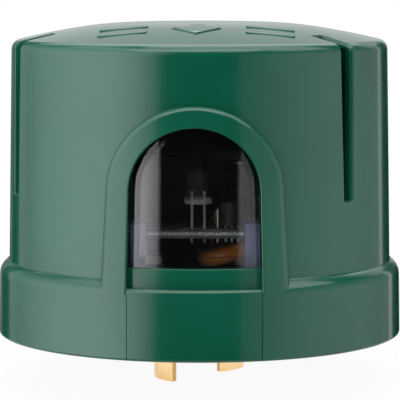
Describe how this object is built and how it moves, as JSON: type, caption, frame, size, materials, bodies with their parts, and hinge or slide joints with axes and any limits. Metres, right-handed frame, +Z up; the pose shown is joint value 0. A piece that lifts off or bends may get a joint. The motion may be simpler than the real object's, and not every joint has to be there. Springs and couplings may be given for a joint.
{
  "type": "photocell switch",
  "caption": "Round plug-in photocell switch with a domed green cover, a rain skirt, an arched smoked window over a light sensor, and brass twist-lock blades underneath.",
  "frame": {"origin": "centre of the gasket face that lies on the socket", "axes": "+Z up out of the socket along the plug's axis, -Y towards the window"},
  "size_m": [0.086, 0.086, 0.0766],
  "materials": {
    "cover_green": "glossy moulded plastic",
    "lens_smoked": "smoked clear plastic",
    "base_grey": "moulded plastic",
    "gasket_foam": "closed-cell foam",
    "blade_brass": "rolled brass",
    "rivet_brass": "rolled brass",
    "screw_steel": "zinc plated",
    "board_laminate": "laminate with solder mask",
    "sensor_epoxy": "clear epoxy",
    "lead_tin": "tinned copper",
    "relay_black": "moulded case",
    "film_grey": "moulded case",
    "can_sleeve": "shrunk sleeve",
    "arrester_amber": "dipped epoxy",
    "moulding_black": "moulded epoxy",
    "resistor_tan": "lacquered",
    "wire_black": "insulation",
    "wire_red": "insulation",
    "wire_white": "insulation"
  },
  "bodies": {
    "root": {"housing_cover": "cover_green", "window_lens": "lens_smoked", "base_plate": "base_grey", "sealing_gasket": "gasket_foam", "neutral_blade": "blade_brass", "line_blade": "blade_brass", "load_blade": "blade_brass", "blade_rivets": "rivet_brass", "base_screws": "screw_steel", "circuit_board": "board_laminate", "board_screws": "screw_steel", "light_sensor": "sensor_epoxy", "sensor_leads": "lead_tin", "relay": "relay_black", "film_capacitor": "film_grey", "electrolytic_capacitor": "can_sleeve", "surge_arrester": "arrester_amber", "transistor": "moulding_black", "resistors": "resistor_tan", "diodes": "moulding_black", "component_leads": "lead_tin", "line_wire": "wire_black", "load_wire": "wire_red", "neutral_wire": "wire_white"}
  },
  "joints": []
}
